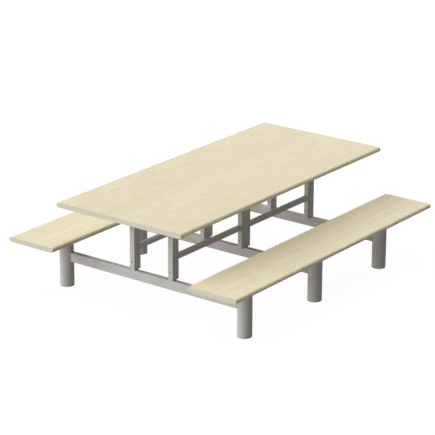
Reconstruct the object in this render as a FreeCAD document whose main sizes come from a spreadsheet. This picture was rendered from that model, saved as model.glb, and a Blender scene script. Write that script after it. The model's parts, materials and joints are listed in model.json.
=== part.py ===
import FreeCAD, Part
import collections
import math
import os
import Sketcher

# Canteen table with two fixed benches: three welded cross frames of steel tube carry a laminated
# top and two bench boards, and four bolted H frames brace them lengthwise.
#
# Frame: X across the table (left bench at -X), Y along it (front end at -Y), Z up, millimetres.
# The origin is on the floor under the middle of the table.

SIZES = [
    # boards
    ("table_height", 752, "floor to the upper face of the top"),
    ("table_length", 2335, "top, with its two end bands"),
    ("table_width", 1042, "top, over its two round edges"),
    ("top_thickness", 34, ""),
    ("bench_height", 413, "floor to the upper face of the benches"),
    ("bench_length", 2332, "bench, with its two end bands"),
    ("bench_width", 390, "bench, over its two round edges"),
    ("bench_thickness", 34, ""),
    ("bench_centre", 761.5, "middle of the table to the middle of a bench and its legs"),
    ("band_thickness", 2, "flat strip glued on each short end of a board"),
    # cross frames
    ("frame_overhang", 363, "end of the table to the middle of the outer cross frame"),
    ("frame_depth", 38.5, "cross beams and posts, along the table"),
    ("beam_bottom", 185, "floor to the underside of the cross beams"),
    ("beam_height", 66, ""),
    ("beam_wall", 2.5, ""),
    ("beam_corner", 2.5, "outer corner radius of the tube"),
    ("weld_gap", 0.3, "square beam end to the skin of the leg"),
    ("leg_diameter", 100, ""),
    ("leg_wall", 3, ""),
    ("foot_height", 6, "part of the foot cap that shows under the leg"),
    ("foot_round", 1.5, "rounding of the cap's lower edge"),
    ("foot_spigot", 22, "length of the cap inside the leg"),
    ("foot_spigot_wall", 3, ""),
    ("foot_gap", 0.3, "spigot to the bore of the leg"),
    ("post_centre", 163, "middle of the table to the middle of a post"),
    ("post_width", 40, ""),
    ("post_wall", 2.5, ""),
    ("post_corner", 1.5, "outer corner radius of the tube"),
    ("inner_corner", 1, "inner corner radius of all the rectangular tubes"),
    # H frames between the cross frames
    ("upright_width", 33, "uprights and rails, across the table"),
    ("upright_depth", 31.5, "uprights, along the table"),
    ("upright_wall", 2, "uprights and rails"),
    ("upright_corner", 1.5, "outer corner radius of uprights and rails"),
    ("rail_bottom", 389, "floor to the underside of the rails"),
    ("rail_height", 31.5, ""),
    ("plug_flange", 2.5, "part of the plug that shows under an upright"),
    ("plug_insert", 14, "length of the plug inside the upright"),
    ("plug_gap", 0.3, "plug to the bore of the upright"),
    # plates welded on the tubes, under the boards
    ("leg_plate_size", 150, "side of the square plate"),
    ("leg_plate_thickness", 5, ""),
    ("leg_plate_pitch", 116, "between its screws, both ways"),
    ("post_plate_width", 112, "across the table"),
    ("post_plate_margin", 12, "plate past the tubes that it stands on, along the table"),
    ("post_plate_thickness", 5, ""),
    ("post_plate_pitch", 82, "between its screws, across the table"),
    ("post_plate_inset", 14, "screw to the end of the plate, along the table"),
    ("plate_corner", 8, "corner radius of the plates"),
    # wood screws
    ("screw_diameter", 5, ""),
    ("screw_length", 26, "under the head, its point included"),
    ("screw_point", 5, "length of the tapered point"),
    ("screw_tip_diameter", 1, ""),
    ("screw_head_diameter", 9.5, ""),
    ("screw_head_height", 3, ""),
    ("screw_head_round", 1.6, ""),
    ("screw_gap", 0.3, "screw to the hole in plate and board"),
    ("screw_recess", 2.6, "across the flats of the square recess"),
    ("screw_recess_depth", 1.8, ""),
    # bolts through posts and uprights
    ("low_bolt_height", 309, ""),
    ("high_bolt_height", 556.5, ""),
    ("bolt_diameter", 5, ""),
    ("bolt_gap", 0.3, "bolt to the hole in a tube"),
    ("bolt_tail", 2.5, "bolt past its nut"),
    ("bolt_chamfer", 0.8, "length of the chamfer at the bolt's end"),
    ("bolt_end_diameter", 3.8, ""),
    ("bolt_head_diameter", 8.5, ""),
    ("bolt_head_height", 2.8, ""),
    ("bolt_head_round", 2, ""),
    ("bolt_recess", 3, "across the flats of the hexagon recess"),
    ("bolt_recess_depth", 1.8, ""),
    ("nut_width", 8, "across the flats"),
    ("nut_height", 4.5, ""),
    ("nut_gap", 0.1, "nut to the bolt's thread"),
]

# Places that several pieces share, as expressions of the sheet.
TOP_UNDERSIDE = "(Sizes.table_height - Sizes.top_thickness)"
BENCH_UNDERSIDE = "(Sizes.bench_height - Sizes.bench_thickness)"
FRAME_PITCH = "(Sizes.table_length / 2 - Sizes.frame_overhang)"
BEAM_TOP = "(Sizes.beam_bottom + Sizes.beam_height)"
POST_TOP = f"({TOP_UNDERSIDE} - Sizes.post_plate_thickness)"
LEG_TOP = f"({BENCH_UNDERSIDE} - Sizes.leg_plate_thickness)"
UPRIGHT_BOTTOM = f"({BEAM_TOP} + Sizes.plug_flange)"
UPRIGHT_OFFSET = "((Sizes.frame_depth + Sizes.upright_depth) / 2)"
SHORT_STACK = "(Sizes.frame_depth + Sizes.upright_depth)"
LONG_STACK = "(Sizes.frame_depth + 2 * Sizes.upright_depth)"
BOLT_HEIGHTS = ("Sizes.low_bolt_height", "Sizes.high_bolt_height")

SIDES = {"left": -1, "right": 1}
ENDS = {"front": -1, "rear": 1}

# Each row of tubes across the table: its place in frame pitches, the shift of its post plates in
# upright depths, how many uprights stand in front of a post, and the tubes stacked at a post.
Row = collections.namedtuple("Row", "pitches plate_shift uprights_before stack")
ROWS = {
    "front": Row(-1, 0.5, 0, SHORT_STACK),
    "middle": Row(0, 0, 1, LONG_STACK),
    "rear": Row(1, -0.5, 1, SHORT_STACK),
}

doc = FreeCAD.newDocument("canteen_table")
sheet = doc.addObject("Spreadsheet::Sheet", "Sizes")
for line, (alias, number, note) in enumerate(SIZES, start=1):
    sheet.set(f"A{line}", alias)
    sheet.set(f"B{line}", str(number))
    sheet.set(f"C{line}", note)
    sheet.setAlias(f"B{line}", alias)
doc.recompute()

subparts = []


def value(expression):
    """Number that an expression of the sheet gives."""
    return float(sheet.evalExpression(str(expression)))


def place(item, x="0", y="0", z="0", turn=None):
    """Put an object at expressions of the sheet, turned by a rotation."""
    base = FreeCAD.Vector(value(x), value(y), value(z))
    item.Placement = FreeCAD.Placement(base, turn or FreeCAD.Rotation())
    for axis, expression in (("x", x), ("y", y), ("z", z)):
        item.setExpression(f"Placement.Base.{axis}", str(expression))


def keep(item, label, solids=1):
    """Name an object as a sub-part of so many solids."""
    item.Label = label
    subparts.append((item, solids))
    return item


# ---- sketches and features of the bodies ----

def new_body(label):
    return doc.addObject("PartDesign::Body", label)


def new_sketch(body, plane, offset="0"):
    """Empty sketch on one of the body's own planes, lifted off it by an offset."""
    sketch = body.newObject("Sketcher::SketchObject", f"{body.Name}_sketch")
    origin_plane = [item for item in body.Origin.OriginFeatures if item.Role == plane][0]
    sketch.AttachmentSupport = [(origin_plane, "")]
    sketch.MapMode = "FlatFace"
    sketch.setExpression("AttachmentOffset.Base.z", str(offset))
    return sketch


def bind(sketch, constraint, expression):
    """Add a constraint whose number follows an expression of the sheet."""
    index = sketch.addConstraint(Sketcher.Constraint(*constraint, value(expression)))
    sketch.setExpression(f"Constraints[{index}]", str(expression))


def set_point(sketch, geometry, point, x, y):
    """Hold a point of the sketch at expressions measured from its origin."""
    for kind, axis, expression in (("DistanceX", -2, x), ("DistanceY", -1, y)):
        if expression == "0":
            sketch.addConstraint(Sketcher.Constraint("PointOnObject", geometry, point, axis))
        else:
            bind(sketch, (kind, -1, 1, geometry, point), expression)


def add_circle(sketch, x, y, radius):
    centre = FreeCAD.Vector(value(x), value(y), 0)
    circle = sketch.addGeometry(Part.Circle(centre, FreeCAD.Vector(0, 0, 1), value(radius)))
    set_point(sketch, circle, 3, x, y)
    bind(sketch, ("Radius", circle), radius)


def add_polygon(sketch, corners):
    """Closed outline of straight lines through corners given as expressions."""
    points = [FreeCAD.Vector(value(x), value(y), 0) for x, y in corners]
    lines = []
    for start, end in zip(points, points[1:] + points[:1]):
        lines.append(sketch.addGeometry(Part.LineSegment(start, end)))
    for index, line in enumerate(lines):
        following = lines[(index + 1) % len(lines)]
        sketch.addConstraint(Sketcher.Constraint("Coincident", line, 2, following, 1))
        set_point(sketch, line, 1, *corners[index])


def add_regular_polygon(sketch, sides, flats):
    """Regular polygon about the sketch's origin, given across its flats."""
    reach = 1 / (2 * math.cos(math.pi / sides))
    corners = []
    for step in range(sides):
        angle = 2 * math.pi * (step + 0.5) / sides
        x_share = round(reach * math.cos(angle), 6)
        y_share = round(reach * math.sin(angle), 6)
        corners.append((f"{x_share} * {flats}", f"{y_share} * {flats}"))
    add_polygon(sketch, [corner_on_axis(corner) for corner in corners])


def corner_on_axis(corner):
    """Corner with a plain 0 where its expression is no more than that."""
    return tuple("0" if abs(value(part)) < 1e-6 else part for part in corner)


def add_arc(sketch, centre, radius, start_angle):
    """Quarter circle that starts at an angle, in degrees."""
    circle = Part.Circle(FreeCAD.Vector(*centre, 0), FreeCAD.Vector(0, 0, 1), radius)
    first = math.radians(start_angle)
    return sketch.addGeometry(Part.ArcOfCircle(circle, first, first + math.pi / 2))


def add_rounded_rectangle(sketch, width, height, corner):
    """Rectangle with round corners, centred on the sketch's origin."""
    right, top, radius = value(width) / 2, value(height) / 2, value(corner)
    flat_x, flat_y = right - radius, top - radius
    vector = FreeCAD.Vector
    lines = [
        sketch.addGeometry(Part.LineSegment(vector(flat_x, top, 0), vector(-flat_x, top, 0))),
        sketch.addGeometry(Part.LineSegment(vector(-right, flat_y, 0), vector(-right, -flat_y, 0))),
        sketch.addGeometry(Part.LineSegment(vector(-flat_x, -top, 0), vector(flat_x, -top, 0))),
        sketch.addGeometry(Part.LineSegment(vector(right, -flat_y, 0), vector(right, flat_y, 0))),
    ]
    centres = [(-flat_x, flat_y), (-flat_x, -flat_y), (flat_x, -flat_y), (flat_x, flat_y)]
    arcs = [add_arc(sketch, centre, radius, 90 * (step + 1)) for step, centre in enumerate(centres)]
    for step in range(4):
        following = lines[(step + 1) % 4]
        direction = "Vertical" if step % 2 else "Horizontal"
        sketch.addConstraint(Sketcher.Constraint("Tangent", lines[step], 2, arcs[step], 1))
        sketch.addConstraint(Sketcher.Constraint("Tangent", arcs[step], 2, following, 1))
        sketch.addConstraint(Sketcher.Constraint(direction, lines[step]))
    for arc in arcs[1:]:
        sketch.addConstraint(Sketcher.Constraint("Equal", arcs[0], arc))
    sketch.addConstraint(Sketcher.Constraint("Symmetric", lines[0], 1, lines[2], 1, -1, 1))
    bind(sketch, ("Radius", arcs[0]), corner)
    bind(sketch, ("DistanceX", lines[1], 1, lines[3], 1), width)
    bind(sketch, ("DistanceY", lines[2], 1, lines[0], 1), height)


def add_bullnose(sketch, width, thickness):
    """Board section on the X axis, with both edges full half rounds, its underside at Y 0."""
    radius = value(thickness) / 2
    reach = value(width) / 2 - radius
    vector = FreeCAD.Vector
    up = vector(0, 0, 1)
    right_circle = Part.Circle(vector(reach, radius, 0), up, radius)
    left_circle = Part.Circle(vector(-reach, radius, 0), up, radius)
    bottom = sketch.addGeometry(Part.LineSegment(vector(-reach, 0, 0), vector(reach, 0, 0)))
    right = sketch.addGeometry(Part.ArcOfCircle(right_circle, -math.pi / 2, math.pi / 2))
    top = sketch.addGeometry(
        Part.LineSegment(vector(reach, 2 * radius, 0), vector(-reach, 2 * radius, 0)))
    left = sketch.addGeometry(Part.ArcOfCircle(left_circle, math.pi / 2, 3 * math.pi / 2))
    outline = [bottom, right, top, left]
    for piece, following in zip(outline, outline[1:] + outline[:1]):
        sketch.addConstraint(Sketcher.Constraint("Tangent", piece, 2, following, 1))
    sketch.addConstraint(Sketcher.Constraint("Equal", right, left))
    set_point(sketch, right, 3, f"({width} - {thickness}) / 2", f"{thickness} / 2")
    set_point(sketch, left, 3, f"-({width} - {thickness}) / 2", f"{thickness} / 2")
    bind(sketch, ("Radius", right), f"{thickness} / 2")


def pad(body, sketch, length, both_ways=False):
    feature = body.newObject("PartDesign::Pad", f"{body.Name}_pad")
    feature.Profile = sketch
    feature.Length = value(length)
    feature.setExpression("Length", str(length))
    feature.Midplane = both_ways
    return feature


def pocket_through(body, sketch):
    """Cut right through the body, both ways from the sketch."""
    feature = body.newObject("PartDesign::Pocket", f"{body.Name}_pocket")
    feature.Profile = sketch
    feature.Type = "ThroughAll"
    feature.Midplane = True


def pocket_up(body, sketch, depth):
    """Blind cut from the sketch towards the sketch's normal."""
    feature = body.newObject("PartDesign::Pocket", f"{body.Name}_pocket")
    feature.Profile = sketch
    feature.Length = value(depth)
    feature.setExpression("Length", str(depth))
    feature.Reversed = True


def revolve(body, corners):
    """Turn an outline, given as radius and height, about the body's Z axis."""
    sketch = new_sketch(body, "XZ_Plane")
    add_polygon(sketch, corners)
    feature = body.newObject("PartDesign::Revolution", f"{body.Name}_turned")
    feature.Profile = sketch
    feature.ReferenceAxis = (sketch, ["V_Axis"])
    feature.Angle = 360
    return feature


def round_rim(body, feature, radius, height, rounding):
    """Round the circular edge of a turned feature at a radius and a height."""
    doc.recompute()
    names = []
    for index, edge in enumerate(feature.Shape.Edges, start=1):
        if not isinstance(edge.Curve, Part.Circle):
            continue
        at_height = abs(edge.Curve.Center.z - value(height)) < 0.001
        if at_height and abs(edge.Curve.Radius - value(radius)) < 0.001:
            names.append(f"Edge{index}")
    fillet = body.newObject("PartDesign::Fillet", f"{body.Name}_round")
    fillet.Base = (feature, names)
    fillet.Radius = value(rounding)
    fillet.setExpression("Radius", rounding)


# ---- boards ----

def screw_places(pitch_x, pitch_y, centre_x="0", centre_y="0"):
    """Four screws in a rectangle about a centre, as pairs of expressions."""
    places = []
    for side_x in (-1, 1):
        for side_y in (-1, 1):
            x = f"{centre_x} + {side_x} * {pitch_x} / 2"
            y = f"{centre_y} + {side_y} * {pitch_y} / 2"
            places.append((x, y))
    return places


def row_y(row):
    """Middle of a cross frame's tubes."""
    return f"{ROWS[row].pitches} * {FRAME_PITCH}"


def post_plate_length(row):
    return f"({ROWS[row].stack} + 2 * Sizes.post_plate_margin)"


def post_plate_pitch(row):
    """Between the screws of a post plate, along the table."""
    return f"({post_plate_length(row)} - 2 * Sizes.post_plate_inset)"


def post_plate_y(row):
    """Middle of a post plate, over the post and its uprights together."""
    return f"{row_y(row)} + {ROWS[row].plate_shift} * Sizes.upright_depth"


def table_screw_places():
    """Screws of all six post plates, from the middle of the table."""
    places = []
    for row in ROWS:
        pitches = ("Sizes.post_plate_pitch", post_plate_pitch(row))
        for side in SIDES.values():
            places += screw_places(*pitches, f"{side} * Sizes.post_centre", post_plate_y(row))
    return places


def bench_screw_places():
    """Screws of the three leg plates of one bench, from the bench's own middle."""
    places = []
    pitch = "Sizes.leg_plate_pitch"
    for row in ROWS:
        places += screw_places(pitch, pitch, "0", row_y(row))
    return places


def make_board(label, length, width, thickness, x, underside, screws, plate):
    """Board with blind screw holes in its underside."""
    body = new_body(label)
    section = new_sketch(body, "XZ_Plane")
    add_bullnose(section, width, thickness)
    pad(body, section, f"{length} - 2 * Sizes.band_thickness", both_ways=True)
    holes = new_sketch(body, "XY_Plane")
    for screw_x, screw_y in screws:
        add_circle(holes, screw_x, screw_y, "Sizes.screw_diameter / 2 + Sizes.screw_gap")
    pocket_up(body, holes, f"Sizes.screw_length - {plate} + Sizes.screw_gap")
    place(body, x=x, z=underside)
    keep(body, label)


def make_end_bands(name, length, width, thickness, x, underside):
    """Flat strips on the two short ends of a board."""
    for end, sign in ENDS.items():
        body = new_body(f"{name}_{end}")
        section = new_sketch(body, "XZ_Plane")
        add_bullnose(section, width, thickness)
        pad(body, section, "Sizes.band_thickness", both_ways=True)
        place(body, x=x, y=f"{sign} * ({length} - Sizes.band_thickness) / 2", z=underside)
        keep(body, f"{name}_{end}")


def make_boards():
    table = ("Sizes.table_length", "Sizes.table_width", "Sizes.top_thickness")
    plate = "Sizes.post_plate_thickness"
    make_board("table_top", *table, "0", TOP_UNDERSIDE, table_screw_places(), plate)
    make_end_bands("table_edge_band", *table, "0", TOP_UNDERSIDE)
    bench = ("Sizes.bench_length", "Sizes.bench_width", "Sizes.bench_thickness")
    plate = "Sizes.leg_plate_thickness"
    for side, sign in SIDES.items():
        x = f"{sign} * Sizes.bench_centre"
        screws = bench_screw_places()
        make_board(f"bench_board_{side}", *bench, x, BENCH_UNDERSIDE, screws, plate)
        make_end_bands(f"bench_edge_band_{side}", *bench, x, BENCH_UNDERSIDE)


# ---- cross frames ----

def add_tube_section(sketch, width, height, corner, wall):
    add_rounded_rectangle(sketch, width, height, corner)
    bore_width = f"({width} - 2 * {wall})"
    bore_height = f"({height} - 2 * {wall})"
    add_rounded_rectangle(sketch, bore_width, bore_height, "Sizes.inner_corner")


def make_cross_beam(row):
    """Beam from leg to leg, its ends cut square just off the round legs."""
    label = f"cross_beam_{row}"
    body = new_body(label)
    section = new_sketch(body, "YZ_Plane")
    size = ("Sizes.frame_depth", "Sizes.beam_height")
    add_tube_section(section, *size, "Sizes.beam_corner", "Sizes.beam_wall")
    reach = "(Sizes.bench_centre - Sizes.leg_diameter / 2 - Sizes.weld_gap)"
    pad(body, section, f"2 * {reach}", both_ways=True)
    middle = "Sizes.beam_bottom + Sizes.beam_height / 2"
    place(body, y=row_y(row), z=middle)
    keep(body, label)


def make_leg(side, row):
    """Round leg tube between the foot cap and the plate under the bench."""
    label = f"leg_{side}_{row}"
    body = new_body(label)
    section = new_sketch(body, "XY_Plane")
    add_circle(section, "0", "0", "Sizes.leg_diameter / 2")
    add_circle(section, "0", "0", "Sizes.leg_diameter / 2 - Sizes.leg_wall")
    pad(body, section, f"{LEG_TOP} - Sizes.foot_height")
    x, y = leg_place(side, row)
    place(body, x=x, y=y, z="Sizes.foot_height")
    keep(body, label)


def leg_place(side, row):
    return f"{SIDES[side]} * Sizes.bench_centre", row_y(row)


def make_foot_cap(side, row):
    """Cap that closes the leg: a disc with a rounded rim and a hollow spigot in the bore."""
    label = f"foot_cap_{side}_{row}"
    body = new_body(label)
    rim = "Sizes.leg_diameter / 2"
    spigot = "(Sizes.leg_diameter / 2 - Sizes.leg_wall - Sizes.foot_gap)"
    bore = f"({spigot} - Sizes.foot_spigot_wall)"
    floor = "Sizes.foot_height"
    top = "(Sizes.foot_height + Sizes.foot_spigot)"
    outline = [("0", "0"), (rim, "0"), (rim, floor), (spigot, floor), (spigot, top), (bore, top),
               (bore, floor), ("0", floor)]
    turned = revolve(body, outline)
    round_rim(body, turned, rim, "0", "Sizes.foot_round")
    x, y = leg_place(side, row)
    place(body, x=x, y=y)
    keep(body, label)


def make_plate(label, width, length, thickness, screws):
    """Flat plate with round corners and four screw holes, its underside at Z 0."""
    body = new_body(label)
    section = new_sketch(body, "XY_Plane")
    add_rounded_rectangle(section, width, length, "Sizes.plate_corner")
    for screw_x, screw_y in screws:
        add_circle(section, screw_x, screw_y, "Sizes.screw_diameter / 2 + Sizes.screw_gap")
    pad(body, section, thickness)
    return keep(body, label)


def make_leg_plate(side, row):
    size = "Sizes.leg_plate_size"
    pitch = "Sizes.leg_plate_pitch"
    screws = screw_places(pitch, pitch)
    plate = make_plate(f"leg_plate_{side}_{row}", size, size, "Sizes.leg_plate_thickness", screws)
    x, y = leg_place(side, row)
    place(plate, x=x, y=y, z=LEG_TOP)


def add_bolt_holes(body, bottom):
    """Two holes along Y through an upright tube whose lower end is at a height."""
    holes = new_sketch(body, "XZ_Plane")
    for height in BOLT_HEIGHTS:
        add_circle(holes, "0", f"{height} - {bottom}", "Sizes.bolt_diameter / 2 + Sizes.bolt_gap")
    pocket_through(body, holes)


def make_post(side, row):
    """Rectangular tube that stands on the beam and carries the top."""
    label = f"post_{side}_{row}"
    body = new_body(label)
    section = new_sketch(body, "XY_Plane")
    size = ("Sizes.post_width", "Sizes.frame_depth")
    add_tube_section(section, *size, "Sizes.post_corner", "Sizes.post_wall")
    pad(body, section, f"{POST_TOP} - {BEAM_TOP}")
    add_bolt_holes(body, BEAM_TOP)
    x = f"{SIDES[side]} * Sizes.post_centre"
    place(body, x=x, y=row_y(row), z=BEAM_TOP)
    keep(body, label)


def make_post_plate(side, row):
    screws = screw_places("Sizes.post_plate_pitch", post_plate_pitch(row))
    size = ("Sizes.post_plate_width", post_plate_length(row), "Sizes.post_plate_thickness")
    plate = make_plate(f"post_plate_{side}_{row}", *size, screws)
    place(plate, x=f"{SIDES[side]} * Sizes.post_centre", y=post_plate_y(row), z=POST_TOP)


def make_cross_frames():
    for row in ROWS:
        make_cross_beam(row)
        for side in SIDES:
            make_leg(side, row)
            make_foot_cap(side, row)
            make_leg_plate(side, row)
            make_post(side, row)
            make_post_plate(side, row)


# ---- H frames ----

def upright_y(end, position):
    """Middle of an upright: against the outer cross frame, or against the middle one."""
    outer = f"{ENDS[end]} * ({FRAME_PITCH} - {UPRIGHT_OFFSET})"
    inner = f"{ENDS[end]} * {UPRIGHT_OFFSET}"
    return outer if end == position else inner


def make_hframe(side, end):
    """Two uprights and the rail between them, on one side of one half of the table."""
    name = f"hframe_{side}_{end}"
    x = f"{SIDES[side]} * Sizes.post_centre"
    size = ("Sizes.upright_width", "Sizes.upright_depth")
    for position in ENDS:
        label = f"{name}_upright_{position}"
        body = new_body(label)
        section = new_sketch(body, "XY_Plane")
        add_tube_section(section, *size, "Sizes.upright_corner", "Sizes.upright_wall")
        pad(body, section, f"{POST_TOP} - {UPRIGHT_BOTTOM}")
        add_bolt_holes(body, UPRIGHT_BOTTOM)
        place(body, x=x, y=upright_y(end, position), z=UPRIGHT_BOTTOM)
        keep(body, label)
    rail = new_body(f"{name}_rail")
    section = new_sketch(rail, "XZ_Plane")
    size = ("Sizes.upright_width", "Sizes.rail_height")
    add_tube_section(section, *size, "Sizes.upright_corner", "Sizes.upright_wall")
    pad(rail, section, f"{FRAME_PITCH} - {LONG_STACK}", both_ways=True)
    middle = "Sizes.rail_bottom + Sizes.rail_height / 2"
    place(rail, x=x, y=f"{ENDS[end]} * {FRAME_PITCH} / 2", z=middle)
    keep(rail, f"{name}_rail")


def make_plug():
    """Plastic plug: a flange with round corners and a smaller block inside the tube."""
    body = new_body("plug")
    flange = new_sketch(body, "XY_Plane")
    size = ("Sizes.upright_width", "Sizes.upright_depth")
    add_rounded_rectangle(flange, *size, "Sizes.upright_corner")
    pad(body, flange, "Sizes.plug_flange")
    insert = new_sketch(body, "XY_Plane", "Sizes.plug_flange")
    play = "2 * (Sizes.upright_wall + Sizes.plug_gap)"
    width = f"(Sizes.upright_width - {play})"
    depth = f"(Sizes.upright_depth - {play})"
    add_rounded_rectangle(insert, width, depth, "Sizes.inner_corner")
    pad(body, insert, "Sizes.plug_insert")
    return body


# ---- fasteners, each kind one group ----

def make_turned_fastener(name, shank, head, recess):
    """Screw or bolt along Z: its head below Z 0, its shank above, a recess in the head."""
    body = new_body(name)
    diameter, length, taper, end_diameter = shank
    head_diameter, head_height, head_round = head
    radius = f"{diameter} / 2"
    rim = f"{head_diameter} / 2"
    outline = [("0", f"-{head_height}"), (rim, f"-{head_height}"), (rim, "0"), (radius, "0"),
               (radius, f"{length} - {taper}"), (f"{end_diameter} / 2", length), ("0", length)]
    turned = revolve(body, outline)
    round_rim(body, turned, rim, f"-{head_height}", head_round)
    sides, flats, depth = recess
    socket = new_sketch(body, "XY_Plane", f"-{head_height}")
    add_regular_polygon(socket, sides, flats)
    pocket_up(body, socket, depth)
    return body


def make_bolt(name, stack):
    length = f"({stack} + Sizes.nut_height + Sizes.bolt_tail)"
    shank = ("Sizes.bolt_diameter", length, "Sizes.bolt_chamfer", "Sizes.bolt_end_diameter")
    head = ("Sizes.bolt_head_diameter", "Sizes.bolt_head_height", "Sizes.bolt_head_round")
    recess = (6, "Sizes.bolt_recess", "Sizes.bolt_recess_depth")
    return make_turned_fastener(name, shank, head, recess)


def make_wood_screw():
    shank = ("Sizes.screw_diameter", "Sizes.screw_length", "Sizes.screw_point",
             "Sizes.screw_tip_diameter")
    head = ("Sizes.screw_head_diameter", "Sizes.screw_head_height", "Sizes.screw_head_round")
    recess = (4, "Sizes.screw_recess", "Sizes.screw_recess_depth")
    return make_turned_fastener("wood_screw", shank, head, recess)


def make_nut():
    """Hexagon nut with its bore along Z, its lower face at Z 0."""
    prism = doc.addObject("Part::Prism", "nut_prism")
    prism.Polygon = 6
    prism.setExpression("Circumradius", f"Sizes.nut_width / {math.sqrt(3):.6f}")
    prism.setExpression("Height", "Sizes.nut_height")
    bore = doc.addObject("Part::Cylinder", "nut_bore")
    bore.setExpression("Radius", "Sizes.bolt_diameter / 2 + Sizes.nut_gap")
    bore.setExpression("Height", "Sizes.nut_height")
    nut = doc.addObject("Part::Cut", "nut")
    nut.Base = prism
    nut.Tool = bore
    return nut


def make_group(label, pieces, turn=None):
    """One sub-part of separate copies, each a piece and its place."""
    copies = []
    for number, (piece, x, y, z) in enumerate(pieces, start=1):
        copy = doc.addObject("App::Link", f"{label}_{number}")
        copy.LinkedObject = piece
        place(copy, x, y, z, turn)
        copies.append(copy)
    group = doc.addObject("Part::Compound", label)
    group.Links = copies
    keep(group, label, solids=len(copies))


def make_frame_bolts():
    """Bolts along +Y through each stack of tubes, and the nuts behind them."""
    bolts = {SHORT_STACK: make_bolt("short_bolt", SHORT_STACK),
             LONG_STACK: make_bolt("long_bolt", LONG_STACK)}
    nut = make_nut()
    bolt_places, nut_places = [], []
    for name, row in ROWS.items():
        reach = f"(Sizes.frame_depth / 2 + {row.uprights_before} * Sizes.upright_depth)"
        head_y = f"{row_y(name)} - {reach}"
        for side in SIDES.values():
            x = f"{side} * Sizes.post_centre"
            for height in BOLT_HEIGHTS:
                bolt_places.append((bolts[row.stack], x, head_y, height))
                nut_places.append((nut, x, f"{head_y} + {row.stack}", height))
    along_y = FreeCAD.Rotation(FreeCAD.Vector(1, 0, 0), -90)
    make_group("frame_bolts", bolt_places, along_y)
    make_group("frame_nuts", nut_places, along_y)


def make_screws():
    screw = make_wood_screw()
    table = [(screw, x, y, POST_TOP) for x, y in table_screw_places()]
    make_group("table_screws", table)
    bench = []
    for side in SIDES.values():
        for x, y in bench_screw_places():
            bench.append((screw, f"{side} * Sizes.bench_centre + {x}", y, LEG_TOP))
    make_group("bench_screws", bench)


def make_plugs():
    plug = make_plug()
    pieces = []
    for side in SIDES.values():
        for end in ENDS:
            for position in ENDS:
                x = f"{side} * Sizes.post_centre"
                pieces.append((plug, x, upright_y(end, position), BEAM_TOP))
    make_group("upright_plugs", pieces)


# ---- the whole table, its checks and its files ----

def check_model():
    """Stop if a feature failed, a cut took nothing away or a sub-part isn't sound."""
    for item in doc.Objects:
        if "Invalid" in item.State or "Error" in item.State:
            raise RuntimeError(f"{item.Label} failed: {item.State}")
        if item.isDerivedFrom("PartDesign::Pocket"):
            if item.Shape.Volume > item.BaseFeature.Shape.Volume - 1:
                raise RuntimeError(f"{item.Label} cuts nothing")
    for item, solids in subparts:
        if item.Shape.isNull() or not item.Shape.isValid():
            raise RuntimeError(f"{item.Label} is not a valid shape")
        if len(item.Shape.Solids) != solids:
            raise RuntimeError(f"{item.Label} has {len(item.Shape.Solids)} solids, not {solids}")


def write_parts():
    os.makedirs("parts", exist_ok=True)
    for item, solids in subparts:
        item.Shape.exportStep(f"parts/{item.Label}.step")


make_boards()
make_cross_frames()
for side in SIDES:
    for end in ENDS:
        make_hframe(side, end)
make_plugs()
make_frame_bolts()
make_screws()
doc.recompute()
check_model()
write_parts()
print(f"{len(subparts)} sub-parts, {sum(solids for item, solids in subparts)} solids")
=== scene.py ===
import json
import math

import bpy
from mathutils import Matrix, Vector


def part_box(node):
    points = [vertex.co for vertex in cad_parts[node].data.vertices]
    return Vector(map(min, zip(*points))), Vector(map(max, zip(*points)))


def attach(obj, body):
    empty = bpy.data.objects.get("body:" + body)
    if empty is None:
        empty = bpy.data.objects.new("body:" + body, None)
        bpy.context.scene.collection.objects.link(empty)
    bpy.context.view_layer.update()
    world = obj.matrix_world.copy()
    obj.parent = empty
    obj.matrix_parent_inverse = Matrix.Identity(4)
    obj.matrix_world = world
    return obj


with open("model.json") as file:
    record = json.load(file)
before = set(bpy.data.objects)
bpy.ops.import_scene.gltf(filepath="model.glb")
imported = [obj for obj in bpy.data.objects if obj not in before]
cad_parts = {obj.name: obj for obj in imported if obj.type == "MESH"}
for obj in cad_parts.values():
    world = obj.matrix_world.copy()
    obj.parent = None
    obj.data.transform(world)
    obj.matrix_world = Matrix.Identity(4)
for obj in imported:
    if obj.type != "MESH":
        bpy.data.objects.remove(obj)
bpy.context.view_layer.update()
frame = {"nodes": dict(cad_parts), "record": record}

SIDES = ("left", "right")
ROWS = ("front", "middle", "rear")
ENDS = ("front", "rear")

# The photograph's camera: where it stands, which way it looks, its roll, how far it sees, and its
# focal length in pixels of the photograph.
CAMERA_PLACE = Vector((7.89364, -10.60716, 5.07052))
CAMERA_AZIMUTH = math.radians(36.887)
CAMERA_ELEVATION = math.radians(19.337)
CAMERA_ROLL = math.radians(0.227)
CAMERA_REACH = 100
FOCAL_PIXELS = 2015.84
PHOTO_WIDTH = 435
SENSOR_WIDTH = 36.0

WHITE = (1.0, 1.0, 1.0)
WARM = (1.0, 0.94, 0.86)

# Soft suns: name, bearing of the light in degrees from -X towards -Y, its elevation, its spread,
# its strength and its colour.
SUNS = (
    ("key_light", 40, 35, 50, 1.81, WHITE),
    ("top_light", 0, 90, 50, 1.06, WHITE),
    ("rear_light", 262, 45, 30, 0.98, WHITE),
    ("front_fill", 80, 8, 50, 1.09, WHITE),
    ("low_left", 20, 6, 16, 0.21, WARM),
    ("low_corner", 60, 6, 16, 0.26, WARM),
    ("low_front", 100, 6, 16, 0.27, WARM),
)
WORLD_STRENGTH = 0.02

# The floor: its width, a faint tone that keeps the shadow, its white where it is seen, and the
# warm light that it throws back up.
FLOOR_SIZE = 60
FLOOR_TONE = 0.06
FLOOR_WHITE = 0.965
FLOOR_RETURN = 0.165

# Levels between which most of a noise lies, and its middle part.
NOISE_RANGE = (0.3, 0.7)
NOISE_MIDDLE = (0.35, 0.65)

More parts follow.
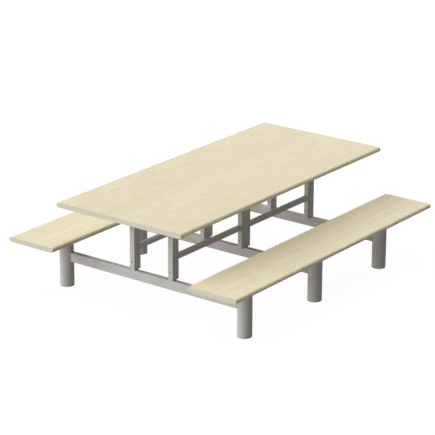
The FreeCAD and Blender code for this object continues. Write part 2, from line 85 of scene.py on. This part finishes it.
# Laminate: a printed maple decor that repeats both ways from the middle of each board.
DECOR_REPEAT = 0.570
LAMINATE_LIGHT = (0.85, 0.785, 0.58)
LAMINATE_DARK = (0.77, 0.695, 0.487)
LAMINATE_PALE = (0.87, 0.825, 0.635)
LAMINATE_DEEP = (0.725, 0.645, 0.436)
LAMINATE_FIBRE = (0.73, 0.65, 0.44)
LAMINATE_PORE = (0.63, 0.54, 0.36)
LAMINATE_ROUGHNESS = (0.44, 0.54)
# Tone of each board's laminate.
BOARD_TONES = {
    "table_top": 0.96,
    "bench_board_left": 1.0,
    "bench_board_right": 1.0,
}
# Stripes of the decor: middle and half width across the board in metres, share, colour.
DECOR_STRIPES = (
    (-0.255, 0.035, 0.35, LAMINATE_DEEP),
    (-0.120, 0.055, 0.60, LAMINATE_DEEP),
    (-0.018, 0.016, 0.40, LAMINATE_DEEP),
    (0.030, 0.050, 0.55, LAMINATE_PALE),
    (0.077, 0.016, 0.35, LAMINATE_DEEP),
    (0.115, 0.050, 0.55, LAMINATE_PALE),
    (0.167, 0.020, 0.60, LAMINATE_PALE),
    (0.220, 0.022, 0.35, LAMINATE_DEEP),
    (0.248, 0.016, 0.25, LAMINATE_PALE),
)
# Noises of the wood grain, drawn out along the board.
GRAIN = {
    "streaks": dict(size=0.016, stretch=(1, 0.06, 1), detail=4, roughness=0.6, distortion=0.3),
    "threads": dict(size=0.009, stretch=(1, 0.09, 1), detail=3, roughness=0.6),
    "fibres": dict(size=0.0025, stretch=(1, 0.03, 1), detail=3, roughness=0.6),
    "clouds": dict(size=0.11, stretch=(1, 0.6, 1), detail=2, roughness=0.5),
    "pores": dict(size=0.0018, stretch=(1, 0.09, 1), detail=2, roughness=0.5),
}
# Levels of the streaks that part the light ground of the wood from the dark.
STREAK_LEVELS = (0.35, 0.68)
# Grain over the ground and its stripes: noise, levels where it starts and is full, share, colour.
GRAIN_LAYERS = (
    ("clouds", (0.40, 0.70), 0.40, LAMINATE_DEEP),
    ("threads", (0.40, 0.65), 0.90, LAMINATE_DEEP),
    ("fibres", (0.45, 0.75), 0.60, LAMINATE_FIBRE),
    ("pores", (0.62, 0.74), 0.45, LAMINATE_PORE),
)

BAND_LIGHT = (0.705, 0.682, 0.538)
BAND_DARK = (0.65, 0.628, 0.493)

PAINT_LIGHT = (0.60, 0.60, 0.587)
PAINT_DARK = (0.565, 0.565, 0.552)
PAINT_ROUGHNESS = (0.5, 0.6)
SPECK_LEVELS = (0.6, 0.75)
SPECK_SHARE = 0.25
# Painted shade in tight corners, darkening the paint where shade falls between parts: its colour,
# how near the other surface is, how open the corner is where the painted shade is full and where
# it ends, its share, and the rays that test a point.
CORNER_SHADE = (0.26, 0.255, 0.235)
CORNER_SHADE_REACH = 0.012
CORNER_SHADE_OPENNESS = (0.45, 0.95)
CORNER_SHADE_SHARE = 0.7
CORNER_SHADE_SAMPLES = 8

CAP_LIGHT = (0.40, 0.395, 0.38)
CAP_DARK = (0.35, 0.345, 0.33)
PLUG_LIGHT = (0.30, 0.295, 0.285)
PLUG_DARK = (0.26, 0.255, 0.245)
PLASTIC_ROUGHNESS = (0.5, 0.62)
SCUFF_LEVELS = (0.35, 0.7)

BOLT_LIGHT = (0.14, 0.14, 0.135)
BOLT_DARK = (0.11, 0.11, 0.105)
BOLT_ROUGHNESS = (0.45, 0.60)
ZINC_LIGHT = (0.62, 0.62, 0.60)
ZINC_DARK = (0.5, 0.5, 0.49)
ZINC_ROUGHNESS = (0.30, 0.45)

# Weld beads under the paint: half their width, how finely they are rounded, the step between their
# points, the height of their ripples as a share of half the width, the pitch of the ripples, how
# far they stay inside a tube's edges, and the share of a beam's width that its end beads take up.
WELD_RADIUS = 0.0019
WELD_ROUNDING = 2
WELD_STEP = 0.0012
WELD_RIPPLE = 0.16
WELD_PITCH = 0.0042
WELD_INSET = 0.004
BEAM_WELD_SHARE = 0.6


def middle_of(node):
    """Middle of a node's box."""
    low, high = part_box(node)
    return [(low[axis] + high[axis]) / 2 for axis in range(3)]


# ---- shader helpers ----

class Shader:
    """The nodes of a material or world, with short ways to add and join them."""

    def __init__(self, owner, surface="Principled BSDF"):
        owner.use_nodes = True
        self.owner = owner
        self.tree = owner.node_tree
        self.surface = self.tree.nodes[surface]
        self.coordinates = self.tree.nodes.new("ShaderNodeTexCoord").outputs["Object"]

    def add(self, kind, inputs=None, **settings):
        """Add a node, with its settings and with values or links for its inputs."""
        node = self.tree.nodes.new(kind)
        for key, setting in settings.items():
            setattr(node, key, setting)
        for key, entry in (inputs or {}).items():
            self.feed(node.inputs[key], entry)
        return node

    def feed(self, socket, entry):
        """Set a socket, or link it when the entry is another node's output."""
        if isinstance(entry, bpy.types.NodeSocket):
            self.tree.links.new(entry, socket)
        elif socket.type == "RGBA":
            socket.default_value = (*entry, 1)
        else:
            socket.default_value = entry

    def set(self, **inputs):
        """Set or link sockets of the surface shader, underscores standing for spaces."""
        for key, entry in inputs.items():
            self.feed(self.surface.inputs[key.replace("_", " ")], entry)

    def math(self, operation, *entries):
        """One sum, its entries in the order of the node's inputs."""
        return self.add("ShaderNodeMath", dict(enumerate(entries)), operation=operation).outputs[0]

    def remap(self, value, span, onto=(0.0, 1.0), smooth=False):
        """Bring a value from one span onto another, held at its ends."""
        inputs = {"Value": value, "From Min": span[0], "From Max": span[1],
                  "To Min": onto[0], "To Max": onto[1]}
        kind = "SMOOTHSTEP" if smooth else "LINEAR"
        return self.add("ShaderNodeMapRange", inputs, interpolation_type=kind).outputs["Result"]

    def mix(self, share, first, second):
        """Colour between two colours."""
        node = self.add("ShaderNodeMix", {"Factor": share}, data_type="RGBA")
        colours = {socket.name: socket for socket in node.inputs if socket.type == "RGBA"}
        self.feed(colours["A"], first)
        self.feed(colours["B"], second)
        return next(socket for socket in node.outputs if socket.type == "RGBA")

    def noise(self, size, stretch=(1, 1, 1), detail=3.0, roughness=0.5, distortion=0.0):
        """Noise from 0 to 1 whose features are about so many metres wide."""
        scaled = self.add("ShaderNodeMapping", {"Vector": self.coordinates, "Scale": stretch})
        inputs = {"Vector": scaled.outputs["Vector"], "Scale": 1 / size, "Detail": detail,
                  "Roughness": roughness, "Distortion": distortion}
        return self.add("ShaderNodeTexNoise", inputs).outputs["Fac"]

    def wrap(self, value, width):
        """Value brought into a repeat of so many metres, its middle at 0."""
        return self.math("WRAP", value, width / 2, -width / 2)

    def stripe(self, value, middle, half_width, share):
        """A soft stripe: the share at its middle, falling to 0 at its half width."""
        away = self.math("ABSOLUTE", self.math("SUBTRACT", value, middle))
        return self.remap(away, (0.0, half_width), (share, 0.0), smooth=True)

    def openness(self, reach):
        """How open a point is: less than 1 where another surface is nearer than the reach."""
        inputs = {"Distance": reach}
        return self.add("ShaderNodeAmbientOcclusion", inputs, samples=CORNER_SHADE_SAMPLES).outputs["AO"]

    def bump(self, height, distance, strength):
        """Fine relief from a noise, so many metres deep."""
        inputs = {"Height": height, "Distance": distance, "Strength": strength}
        self.set(Normal=self.add("ShaderNodeBump", inputs).outputs["Normal"])

    def seen(self):
        """1 for what is seen, also in a gloss or through a pane, and 0 for the light it sheds."""
        rays = self.add("ShaderNodeLightPath").outputs
        seen = self.math("MAXIMUM", rays["Is Camera Ray"], rays["Is Glossy Ray"])
        return self.math("MAXIMUM", seen, rays["Is Transmission Ray"])


# ---- materials ----

def shade(colour, tone):
    """A colour made darker by a tone under 1."""
    return tuple(channel * tone for channel in colour)


def laminate(board):
    """Pale maple decor: broad stripes, soft streaks and fine fibres along a board."""
    shader = Shader(bpy.data.materials.new(f"{board}_laminate"))
    tone = BOARD_TONES[board]
    axes = shader.add("ShaderNodeSeparateXYZ", {"Vector": shader.coordinates}).outputs
    across = shader.wrap(shader.math("SUBTRACT", axes["X"], middle_of(board)[0]), DECOR_REPEAT)
    along = shader.wrap(axes["Y"], DECOR_REPEAT)
    decor = shader.add("ShaderNodeCombineXYZ", {"X": across, "Y": along, "Z": axes["Z"]})
    shader.coordinates = decor.outputs["Vector"]

    grain = {name: shader.noise(**settings) for name, settings in GRAIN.items()}
    base = shader.mix(shader.remap(grain["streaks"], STREAK_LEVELS, smooth=True),
                      shade(LAMINATE_LIGHT, tone), shade(LAMINATE_DARK, tone))
    for middle, half_width, share, colour in DECOR_STRIPES:
        stripe = shader.stripe(across, middle, half_width, share)
        base = shader.mix(stripe, base, shade(colour, tone))
    for layer, levels, share, colour in GRAIN_LAYERS:
        cover = shader.remap(grain[layer], levels, (0.0, share))
        base = shader.mix(cover, base, shade(colour, tone))
    roughness = shader.remap(grain["fibres"], NOISE_RANGE, LAMINATE_ROUGHNESS)
    shader.set(Base_Color=base, Roughness=roughness, Specular_IOR_Level=0.4)
    shader.bump(grain["fibres"], distance=0.00012, strength=0.35)
    return shader.owner


def edge_band():
    """Cream strip on the short ends, with a faint grain along it."""
    shader = Shader(bpy.data.materials.new("edge_band"))
    grain = shader.noise(size=0.004, stretch=(0.12, 1, 1))
    base = shader.mix(shader.remap(grain, NOISE_MIDDLE), BAND_LIGHT, BAND_DARK)
    shader.set(Base_Color=base, Roughness=0.5, Specular_IOR_Level=0.4)
    shader.bump(grain, distance=0.0001, strength=0.25)
    return shader.owner


def powder_coat():
    """Grey powder coat: orange peel, faint cloudiness, specks and painted shade in the corners."""
    shader = Shader(bpy.data.materials.new("grey_powder_coat"))
    peel = shader.noise(size=0.0022, detail=2, roughness=0.45)
    clouds = shader.noise(size=0.09, roughness=0.55)
    specks = shader.noise(size=0.0009, detail=1)
    base = shader.mix(shader.remap(clouds, NOISE_RANGE), PAINT_LIGHT, PAINT_DARK)
    base = shader.mix(shader.remap(specks, SPECK_LEVELS, (0.0, SPECK_SHARE)), base, PAINT_DARK)
    # Painted shade: the paint turns darker in tight corners, where shade falls between parts.
    painted_shade = shader.remap(shader.openness(CORNER_SHADE_REACH), CORNER_SHADE_OPENNESS, (CORNER_SHADE_SHARE, 0.0))
    base = shader.mix(painted_shade, base, CORNER_SHADE)
    roughness = shader.remap(clouds, NOISE_RANGE, PAINT_ROUGHNESS)
    shader.set(Base_Color=base, Roughness=roughness, Specular_IOR_Level=0.35)
    shader.bump(peel, distance=0.00015, strength=0.35)
    return shader.owner


def plastic(name, light, dark):
    """Moulded plastic with light scuffs and a fine leather-like grain."""
    shader = Shader(bpy.data.materials.new(name))
    grain = shader.noise(size=0.0011, detail=2)
    scuffs = shader.noise(size=0.02, detail=4, roughness=0.65)
    base = shader.mix(shader.remap(scuffs, SCUFF_LEVELS), light, dark)
    shader.set(Base_Color=base, Roughness=shader.remap(scuffs, NOISE_RANGE, PLASTIC_ROUGHNESS))
    shader.bump(grain, distance=0.0001, strength=0.4)
    return shader.owner


def fastener(name, light, dark, metallic, roughness):
    """Plated or blackened steel with small tone changes."""
    shader = Shader(bpy.data.materials.new(name))
    tone = shader.noise(size=0.003)
    base = shader.mix(shader.remap(tone, NOISE_MIDDLE), light, dark)
    shader.set(Base_Color=base, Metallic=metallic)
    shader.set(Roughness=shader.remap(tone, NOISE_RANGE, roughness))
    return shader.owner


def dress_frame(paint):
    """Give every CAD node the material of its slot."""
    finishes = {
        "edge_band": edge_band(),
        "frame_paint": paint,
        "plate": paint,
        "foot_cap": plastic("grey_plastic", CAP_LIGHT, CAP_DARK),
        "plug": plastic("plug_plastic", PLUG_LIGHT, PLUG_DARK),
        "bolt": fastener("dark_steel", BOLT_LIGHT, BOLT_DARK, 0.4, BOLT_ROUGHNESS),
        "screw": fastener("zinc_steel", ZINC_LIGHT, ZINC_DARK, 1.0, ZINC_ROUGHNESS),
    }
    slots = {entry["node"]: entry["material_slot"] for entry in frame["record"]["subparts"]}
    for name, node in frame["nodes"].items():
        node.data.materials.clear()
        finish = laminate(name) if slots[name] == "laminate" else finishes[slots[name]]
        node.data.materials.append(finish)


# ---- weld beads ----

def straight_bead(start, end):
    """Points of a straight bead, a weld step apart, and that it isn't closed."""
    start, end = Vector(start), Vector(end)
    count = round((end - start).length / WELD_STEP)
    return [start.lerp(end, step / count) for step in range(count + 1)], False


def ring_bead(centre_x, centre_y, z, radius):
    """Points of a level ring, a weld step apart, and that it is closed."""
    count = round(math.tau * radius / WELD_STEP)
    turns = [math.tau * step / count for step in range(count)]
    return [Vector((centre_x + radius * math.cos(turn), centre_y + radius * math.sin(turn), z))
            for turn in turns], True


def beam_welds(beam, side):
    """Beads over and under a beam's square end, where it is closest to the round leg."""
    low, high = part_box(beam)
    end = low[0] if side == "left" else high[0]
    middle = middle_of(beam)[1]
    reach = (high[1] - low[1]) * BEAM_WELD_SHARE / 2
    for z in (low[2], high[2]):
        yield straight_bead((end, middle - reach, z), (end, middle + reach, z))


def post_welds(post):
    """Beads on both sides of a post, across the beam that it stands on."""
    low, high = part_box(post)
    for x in (low[0], high[0]):
        yield straight_bead((x, low[1] + WELD_INSET, low[2]), (x, high[1] - WELD_INSET, low[2]))


def rail_welds(rail):
    """Beads over and under both ends of a rail."""
    low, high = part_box(rail)
    for y in (low[1], high[1]):
        for z in (low[2], high[2]):
            yield straight_bead((low[0] + WELD_INSET, y, z), (high[0] - WELD_INSET, y, z))


def leg_plate_weld(leg):
    """Ring round the top of a leg, under its plate."""
    low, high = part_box(leg)
    centre_x, centre_y, _ = middle_of(leg)
    return ring_bead(centre_x, centre_y, high[2], radius=(high[0] - low[0]) / 2)


def add_beads(name, beads, finish):
    """One piece of several beads, each a list of points, rippled along its length."""
    curve = bpy.data.curves.new(name, "CURVE")
    curve.dimensions = "3D"
    curve.bevel_depth = WELD_RADIUS
    curve.bevel_resolution = WELD_ROUNDING
    curve.use_fill_caps = True
    for points, closed in beads:
        spline = curve.splines.new("POLY")
        spline.points.add(len(points) - 1)
        spline.use_cyclic_u = closed
        for number, (target, point) in enumerate(zip(spline.points, points)):
            target.co = (*point, 1)
            target.radius = 1 + WELD_RIPPLE * math.sin(math.tau * number * WELD_STEP / WELD_PITCH)
    curve.materials.append(finish)
    piece = bpy.data.objects.new(name, curve)
    bpy.context.scene.collection.objects.link(piece)
    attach(piece, "root")


def make_welds(finish):
    """One piece of beads for each cross frame and one for each H frame."""
    for row in ROWS:
        beads = []
        for side in SIDES:
            beads += beam_welds(f"cross_beam_{row}", side)
            beads.append(leg_plate_weld(f"leg_{side}_{row}"))
            beads += post_welds(f"post_{side}_{row}")
        add_beads(f"welds_{row}", beads, finish)
    for side in SIDES:
        for end in ENDS:
            hframe = f"hframe_{side}_{end}"
            add_beads(f"{hframe}_welds", rail_welds(f"{hframe}_rail"), finish)


# ---- stage ----

def make_floor():
    """Floor that shows white to the camera, keeps a faint shadow and lights from below."""
    bpy.ops.mesh.primitive_plane_add(size=FLOOR_SIZE, location=(0, 0, 0))
    floor = bpy.context.object
    floor.name = "floor"
    shader = Shader(bpy.data.materials.new("floor"))
    seen = shader.seen()
    shader.set(Base_Color=(FLOOR_TONE,) * 3, Roughness=1.0, Specular_IOR_Level=0.0)
    shader.set(Emission_Color=shader.mix(seen, WARM, WHITE))
    shader.set(Emission_Strength=shader.remap(seen, (0.0, 1.0), (FLOOR_RETURN, FLOOR_WHITE)))
    floor.data.materials.append(shader.owner)


def make_world():
    """Soft even light from all round, white where it is seen."""
    world = bpy.data.worlds.new("studio")
    bpy.context.scene.world = world
    shader = Shader(world, "Background")
    strength = shader.remap(shader.seen(), (0.0, 1.0), (WORLD_STRENGTH, 1.0))
    shader.set(Color=WHITE, Strength=strength)


def make_lights():
    """Soft suns, each turned so that its light comes from its own bearing and elevation."""
    for name, bearing, elevation, spread, strength, colour in SUNS:
        lamp = bpy.data.lights.new(name, "SUN")
        lamp.energy = strength
        lamp.color = colour
        lamp.angle = math.radians(spread)
        sun = bpy.data.objects.new(name, lamp)
        around, above = math.radians(bearing), math.radians(elevation)
        towards = Vector((-math.cos(around) * math.cos(above),
                          -math.sin(around) * math.cos(above), math.sin(above)))
        sun.rotation_euler = towards.to_track_quat("Z", "Y").to_euler()
        bpy.context.scene.collection.objects.link(sun)


def make_camera():
    """The photograph's camera, rolled about its line of sight."""
    azimuth, elevation, roll = CAMERA_AZIMUTH, CAMERA_ELEVATION, CAMERA_ROLL
    back = Vector((math.sin(azimuth) * math.cos(elevation),
                   -math.cos(azimuth) * math.cos(elevation), math.sin(elevation)))
    level = Vector((math.cos(azimuth), math.sin(azimuth), 0))
    upright = back.cross(level)
    right = math.cos(roll) * level + math.sin(roll) * upright
    up = math.cos(roll) * upright - math.sin(roll) * level
    data = bpy.data.cameras.new("camera")
    data.sensor_width = SENSOR_WIDTH
    data.lens = FOCAL_PIXELS * SENSOR_WIDTH / PHOTO_WIDTH
    data.clip_end = CAMERA_REACH
    camera = bpy.data.objects.new("camera", data)
    axes = Matrix((right, up, back)).transposed()
    camera.matrix_world = Matrix.Translation(CAMERA_PLACE) @ axes.to_4x4()
    bpy.context.scene.collection.objects.link(camera)
    bpy.context.scene.camera = camera


paint = powder_coat()
dress_frame(paint)
make_welds(paint)
make_floor()
make_world()
make_lights()
make_camera()
bpy.context.scene.view_settings.view_transform = "Standard"
